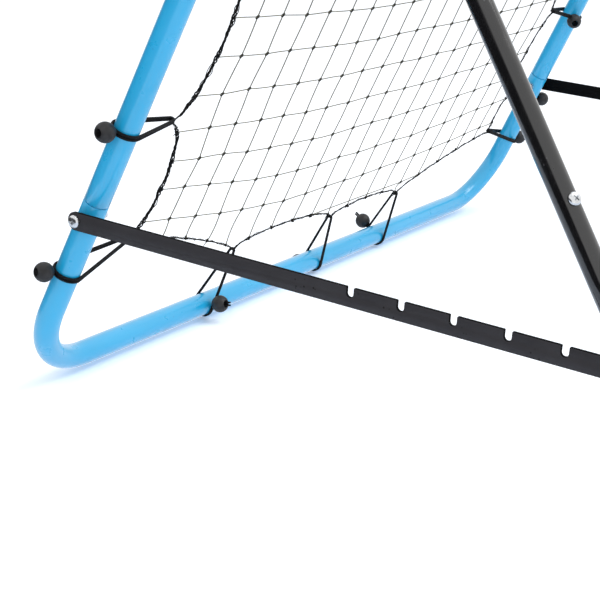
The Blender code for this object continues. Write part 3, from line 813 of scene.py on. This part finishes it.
def build_net():
    outline = net_outline()
    columns = [FIRST_COLUMN + MESH_PITCH * i for i in range(-1, COLUMNS + 2)]
    rows = [FIRST_ROW + MESH_PITCH * j for j in range(-1, ROWS + 1)]
    knots = {}
    for i, x in enumerate(columns):
        for j, up in enumerate(rows):
            at = pulled(x, up)
            if is_inside(outline, at):
                knots[i, j] = at + wander(0.0008)
    bm = bmesh.new()
    taut = Vector((0, 0, 0))
    edge_knots = []
    for (i, j), here in knots.items():
        for following in ((i + 1, j), (i, j + 1)):
            if following in knots:
                strand(bm, here, knots[following], taut)
        for across, upwards in ((1, 0), (-1, 0), (0, 1), (0, -1)):
            if (i + across, j + upwards) in knots:
                continue
            at = pulled(columns[i] + across * MESH_PITCH, rows[j]).z if across else here.x
            end = edge_point(outline, here, at, across, upwards)
            if end is None:
                continue
            edge_knots.append(end)
            slack = Vector((chance.uniform(-0.004, 0.004), chance.uniform(-0.002, 0.002), 0))
            strand(bm, here, end, slack if upwards < 0 else slack * 0.3)
    for here in knots.values():
        knot(bm, here)
    settle(bm, "knotted_net", "front_frame", ["twine", "knot"], FRONT, ["net_panel"], angle=80)
    build_border(outline, edge_knots)


def edge_knot(bm, end):
    """Two crossed blobs round the border cord, and the twine's cut tail."""
    here = end + wander(0.0006)
    blob = [(0.0004, -0.0026), (0.0011, -0.0017), (0.0015, 0), (0.0011, 0.0017), (0.0004, 0.0026)]
    for _ in range(2):
        slant = Vector((chance.uniform(-1, 1), 0.3, chance.uniform(-1, 1))).normalized()
        turned(bm, blob, 8, frame_at(here, slant))
    tail = Vector((chance.uniform(-1, 1), chance.uniform(-0.4, 0.4), chance.uniform(-1, 0.4)))
    tail.normalize()
    reach = chance.uniform(0.004, 0.008)
    droop = Vector((0, 0, -0.001))
    sweep(bm, [here, here + tail * reach * 0.5, here + tail * reach + droop],
          [0.0005, 0.00045, 0.0003], 5, Y_AXIS.cross(tail).normalized())


def build_border(outline, edge_knots):
    """Twisted border cord, with the net's edge twine laced round it and a knot at each mesh."""
    path = densified(outline, 0.0016)
    total = len(path)
    for _ in range(3):
        path = [(path[i - 1] + path[i] + path[(i + 1) % total]) / 3 for i in range(total)]
    length = sum((path[(i + 1) % total] - path[i]).length for i in range(total))
    twist_pitch = 0.016
    turns = round(length / twist_pitch)
    strand_r, lace_r = 0.00072, 0.00042
    bm = bmesh.new()
    lays = [[], [], []]
    laces = [[], []]
    thick = []
    for i, point in enumerate(path):
        along = (path[(i + 1) % total] - path[i - 1]).normalized()
        sideways = Vector((-along.y, 0, along.x))
        centre = Vector((point.x, 0, point.y))
        turn = 2 * math.pi * turns * i / total
        # The cord is at its full thickness only where it runs up the right side.
        upright = min(1, max(0, (abs(along.y) - 0.45) / 0.4)) if point.x > 0 else 0
        thin = 0.58 + 0.42 * upright
        # At a knot its three strands are pushed apart.
        nearest = min((centre - knot_at).length for knot_at in edge_knots)
        opened = 0.00075 * thin + 0.0011 * thin * math.exp(-(nearest / 0.007) ** 2)
        thick.append(thin)
        for k, lay in enumerate(lays):
            angle = turn + k * 2 * math.pi / 3
            lay.append(centre + opened * (math.cos(angle) * sideways + math.sin(angle) * Y_AXIS))
        for k, lace in enumerate(laces):
            angle = 2 * math.pi * round(turns * (-0.62 if k else 0.38)) * i / total + k * 2
            swell = thin * (0.0019 + 0.0008 * math.sin(i * 0.21 + k) * math.sin(i * 0.057))
            lace.append(centre + swell * (math.cos(angle) * sideways + math.sin(angle) * Y_AXIS))
    for lay in lays:
        sweep(bm, lay, [strand_r * thin for thin in thick], 6, Y_AXIS, looped=True)
    for lace in laces:
        sweep(bm, lace, [lace_r * (0.3 + 0.7 * thin) for thin in thick], 5, Y_AXIS, looped=True)
    for end in edge_knots:
        edge_knot(bm, end)
    settle(bm, "laced_border", "front_frame", ["border"], FRONT, ["net_border_cord"], angle=80)


# --- ties ---
def tie(name, tube_at, net_at, out, tube_axis, angle, slant=0.0, tip_at=SIDE_TIP, cord_r=SIDE_CORD_R):
    """Two strands of elastic cord looped from the net's edge round the tube, locked by a ball."""
    line = tube_at - net_at
    flat = line - Y_AXIS * line.dot(Y_AXIS)
    skew = flat.dot(tube_axis)
    reach = flat.dot(out)
    hug = TUBE_R + cord_r + 0.0002
    turn_in = 0.0027
    tangent = math.degrees(math.acos((hug - turn_in) / reach))
    rounds = arc((0, 0), hug, tangent - 180, 180 - tangent, 30)
    back = arc((-reach, 0), turn_in, 180 - tangent, 180 + tangent, 10)
    bm = bmesh.new()
    for lane in (-1, 1):
        points = []
        for p, q in [*rounds, *back]:
            toward = min(1, max(0, -p / reach))
            offset = lane * cord_r * (1.04 - 0.25 * toward)
            lead = slant * q / hug * (1 - toward)
            points.append(tube_at + out * p + Y_AXIS * q + tube_axis * (offset + lead - skew * toward))
        sweep(bm, densified(points, 0.004), cord_r, 10, tube_axis, looped=True)
    away = Matrix.Rotation(angle, 3, out.cross(Y_AXIS)) @ out
    centre = tube_at + away * BALL_AT + tube_axis * slant * away.y * BALL_AT / hug * 0.6
    bore, bore_lip = 0.0043, 0.0044
    ball = arc((0, 0), BALL_R, -63, 63, 24)
    ball += [(bore_lip, 0.0088), (bore, 0.0083), (bore, -0.0083), (bore_lip, -0.0088)]
    turned(bm, ball, 36, frame_at(centre, away), looped=True, slot=1)
    # The two ends of the cord lie side by side in the ball's bore.
    beside = away.cross(tube_axis).normalized()
    for lane in (-1, 1):
        start = centre - away * 0.011 + beside * lane * 0.0014
        tip = centre + away * tip_at + beside * lane * 0.0016 + tube_axis * lane * 0.0004
        sweep(bm, [start, start.lerp(tip, 0.5), tip], [cord_r, cord_r, cord_r * 0.9], 10, tube_axis)
    settle(bm, f"{name}_bungee", "front_frame", ["cord", "plastic"], FRONT, [name], angle=60)


def build_ties():
    for side, net_x, net_up, tube_up, angle, name in SIDE_TIES:
        axis = Vector((-side * math.tan(FRAME_TAPER), 0, 1)).normalized()
        tube_at = Vector((side * tube_x(tube_up), 0, tube_up))
        net_at = Vector((side * net_x, 0, net_up))
        tie(name, tube_at, net_at, X_AXIS * side, axis, math.radians(angle))
    for end, net_x, net_up, tube_at_x, angle, slant, name in END_TIES:
        tube_at = Vector((tube_at_x, 0, 0 if end < 0 else FRAME_LENGTH))
        net_at = Vector((net_x, 0, net_up))
        turn = math.radians(90 - end * angle)
        tie(name, tube_at, net_at, Z_AXIS * end, X_AXIS, turn, slant, END_TIP, END_CORD_R)


# --- the studio ---
def ground(name, bm, material):
    """A flat piece of the floor."""
    mesh = bpy.data.meshes.new(name)
    bm.to_mesh(mesh)
    bm.free()
    mesh.materials.append(material)
    made = bpy.data.objects.new(name, mesh)
    bpy.context.scene.collection.objects.link(made)
    return made


def build_floor():
    paint = floor_paint()
    bm = bmesh.new()
    bmesh.ops.create_grid(bm, x_segments=2, y_segments=2, size=30)
    floor = ground("floor", bm, paint)
    floor.visible_glossy = False

    # The part of the floor that the gloss on the tubes shows.
    bm = bmesh.new()
    bmesh.ops.create_circle(bm, cap_ends=True, segments=64, radius=1.08)
    lit = ground("lit_floor", bm, paint)
    lit.location = (0.10, 0.12, 0)
    lit.visible_camera = False
    lit.visible_diffuse = False
    lit.visible_shadow = False
    lit.visible_transmission = False


def build_world():
    world = bpy.data.worlds.new("studio")
    bpy.context.scene.world = world
    world.use_nodes = True
    nodes, links = world.node_tree.nodes, world.node_tree.links
    background = nodes["Background"]
    place = nodes.new("ShaderNodeTexCoord")

    def part(direction, low, high):
        """1 where the view's direction lies along this one, falling to 0."""
        toward = nodes.new("ShaderNodeVectorMath")
        toward.operation = "DOT_PRODUCT"
        links.new(place.outputs["Generated"], toward.inputs[0])
        toward.inputs[1].default_value = direction
        span = nodes.new("ShaderNodeMapRange")
        span.interpolation_type = "SMOOTHSTEP"
        span.inputs["From Min"].default_value = low
        span.inputs["From Max"].default_value = high
        links.new(toward.outputs["Value"], span.inputs["Value"])
        return span.outputs["Result"]

    def maths(operation, first, second):
        made = nodes.new("ShaderNodeMath")
        made.operation = operation
        for socket, value in zip(made.inputs, (first, second)):
            if isinstance(value, bpy.types.NodeSocket):
                links.new(value, socket)
            else:
                socket.default_value = value
        return made.outputs[0]

    # A dark side of the room, low down, which the gloss on the tubes shows as a dark band.
    side = part(Vector((0.667, -0.715, -0.208)), 0.38, 0.52)
    dark = maths("MULTIPLY", side, part(-Z_AXIS, -0.36, -0.20))
    # Seen directly, that side is as white as the rest of the backdrop.
    ray = nodes.new("ShaderNodeLightPath")
    shown = maths("MULTIPLY", dark, maths("SUBTRACT", 1.0, ray.outputs["Is Camera Ray"]))
    walls = nodes.new("ShaderNodeMix")
    walls.data_type = "RGBA"
    walls.inputs[6].default_value = (1.0, 1.0, 1.0, 1)
    walls.inputs[7].default_value = (0.05, 0.05, 0.055, 1)
    links.new(shown, walls.inputs[0])
    links.new(walls.outputs[2], background.inputs["Color"])
    background.inputs["Strength"].default_value = 1.0


def area_light(name, place, target, size, power):
    data = bpy.data.lights.new(name, "AREA")
    data.shape = "DISK"
    data.size = size
    data.energy = power
    made = bpy.data.objects.new(name, data)
    bpy.context.scene.collection.objects.link(made)
    made.location = place
    made.rotation_mode = "QUATERNION"
    made.rotation_quaternion = (Vector(target) - Vector(place)).to_track_quat("-Z", "Y")
    return made


def build_studio():
    build_floor()
    build_world()
    area_light("key", (-1.0, 1.6, 3.2), (0, 0, 0.3), 2.4, 70)
    fill = area_light("fill", (3.2, 0.6, 1.6), (0.2, -0.1, 0.3), 2.6, 15)
    fill.visible_glossy = False


def build_camera():
    data = bpy.data.cameras.new("camera")
    data.lens = 88.32
    data.sensor_width = 36
    data.clip_start = 0.05
    data.clip_end = 200
    made = bpy.data.objects.new("camera", data)
    bpy.context.scene.collection.objects.link(made)
    place = Vector((1.50541, 1.00637 + FRAME_Y, 0.5371))
    forward = Vector((-0.7941, -0.5295, -0.2983)).normalized()
    right = Vector((-0.55668, 0.83069, 0.00733))
    right = (right - forward * right.dot(forward)).normalized()
    up = right.cross(forward)
    turn = Matrix((right, up, -forward)).transposed()
    made.matrix_world = Matrix.Translation(place) @ turn.to_4x4()
    bpy.context.scene.camera = made


def paint_plain_nodes():
    """Paints the CAD pieces that no finer piece replaces."""
    paints = {
        "pivot_spacer": "plastic",
        "bar_pivot_nut": "zinc",
        "hinge_nut": "zinc",
        "top_joint_nut": "zinc",
        "hook_nut": "zinc",
    }
    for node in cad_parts.values():
        paint = paints.get(node.name.rsplit("_", 1)[0])
        if paint:
            node.data.materials.clear()
            node.data.materials.append(PAINTS[paint])


build_camera()
build_front_frame()
build_leg_frame()
build_bars()
build_fasteners()
build_net()
build_ties()
paint_plain_nodes()
build_studio()
bpy.context.scene.view_settings.view_transform = "Standard"
